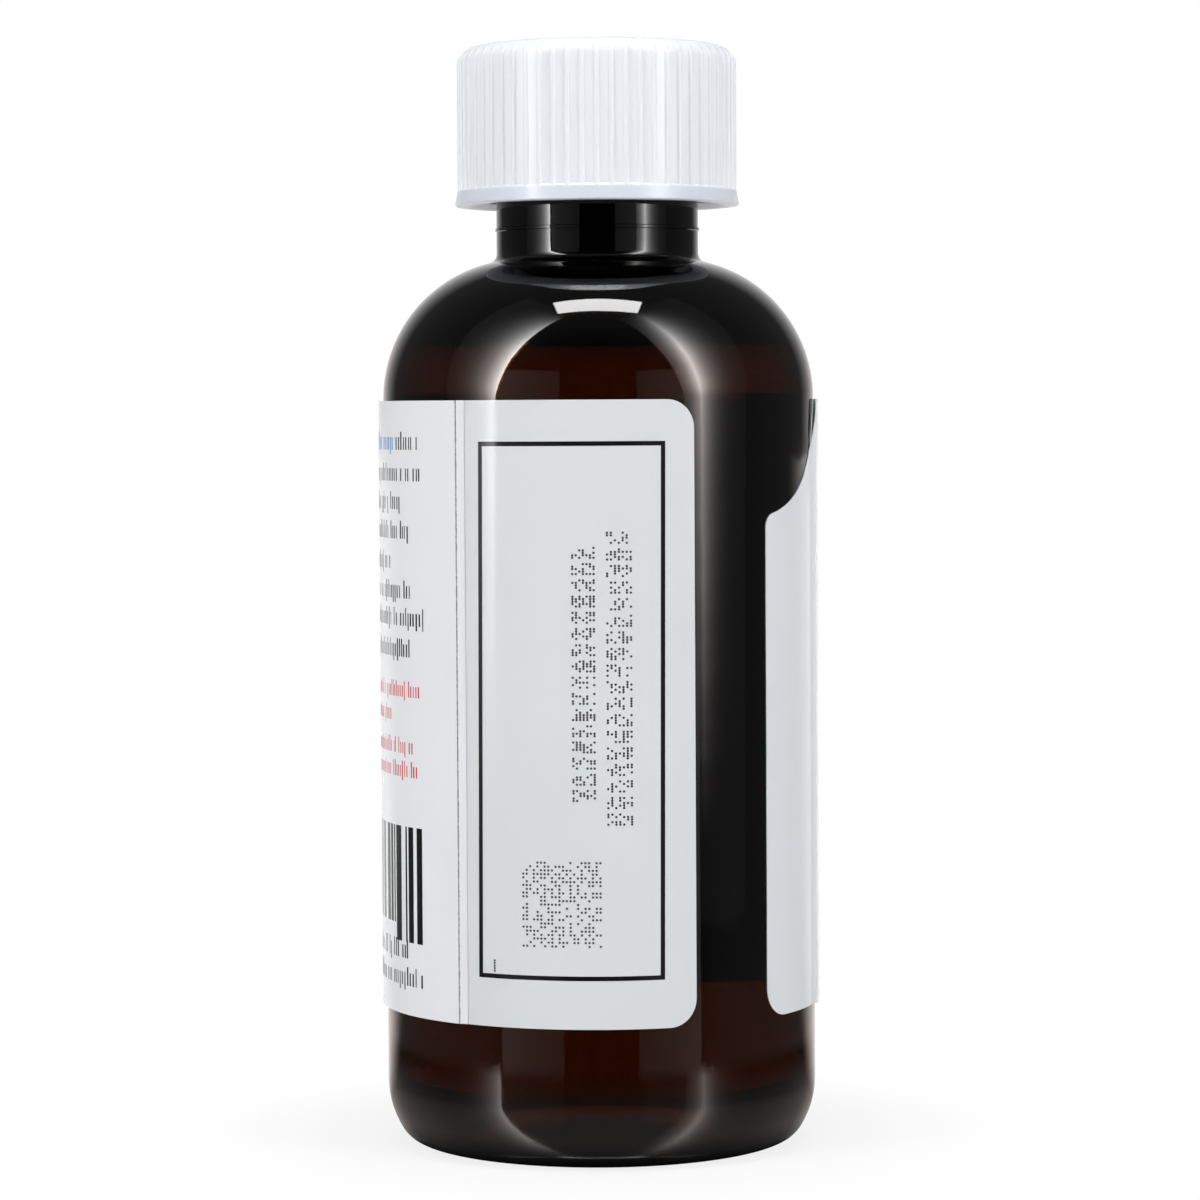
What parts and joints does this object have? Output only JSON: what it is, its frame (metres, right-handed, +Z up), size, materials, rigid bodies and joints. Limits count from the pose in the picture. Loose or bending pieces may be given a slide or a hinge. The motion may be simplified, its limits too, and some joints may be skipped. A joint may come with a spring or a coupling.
{
  "type": "mouthwash bottle",
  "caption": "Round amber plastic bottle of mouthwash with a wrap-round leaflet label, pull tail and ribbed white push-and-turn screw cap.",
  "frame": {"origin": "middle of the base, on the surface that the bottle stands on", "axes": "+Z up along the bottle's axis, -Y towards the front, where the picture was taken from, +X to the right in that view"},
  "size_m": [0.046, 0.0456, 0.1143],
  "materials": {
    "amber_pet": "gloss",
    "liquid": "polished",
    "label_film": "satin",
    "leaflet_paper": "matte",
    "cover_film": "satin",
    "liner_foam": "matte",
    "inner_polypropylene": "satin",
    "spring_acetal": "satin",
    "cap_polypropylene": "satin"
  },
  "bodies": {
    "bottle": {"bottle": "amber_pet", "mouthwash": "liquid", "base_label": "label_film", "folded_leaflet": "leaflet_paper", "cover_label": "cover_film"},
    "liner": {"liner": "liner_foam"},
    "inner_cap": {"inner_cap": "inner_polypropylene"},
    "spring_star": {"spring_star": "spring_acetal"},
    "outer_cap": {"outer_cap": "cap_polypropylene"}
  },
  "joints": [
    {"name": "cap_lift", "type": "slide", "parent": "bottle", "child": "liner", "axis": [0, 0, 1], "range_m": [0, 0.0127]},
    {"name": "cap_turn", "type": "hinge", "parent": "liner", "child": "inner_cap", "pos_m": [0, 0, 0.104], "axis": [0, 0, 1], "range_deg": [0, 1441]},
    {"name": "cap_overrun", "type": "hinge", "parent": "inner_cap", "child": "spring_star", "pos_m": [0, 0, 0.112], "axis": [0, 0, 1], "continuous": true},
    {"name": "cap_push", "type": "slide", "parent": "spring_star", "child": "outer_cap", "axis": [0, 0, -1], "range_m": [0, 0.0012], "stiffness_N_per_m": 10000, "springref_m": -0.0002, "deforming": ["spring_star"]}
  ],
  "couplings": [
    {"joint": "cap_turn", "follows": "cap_lift", "rad_per_m": 1979}
  ]
}
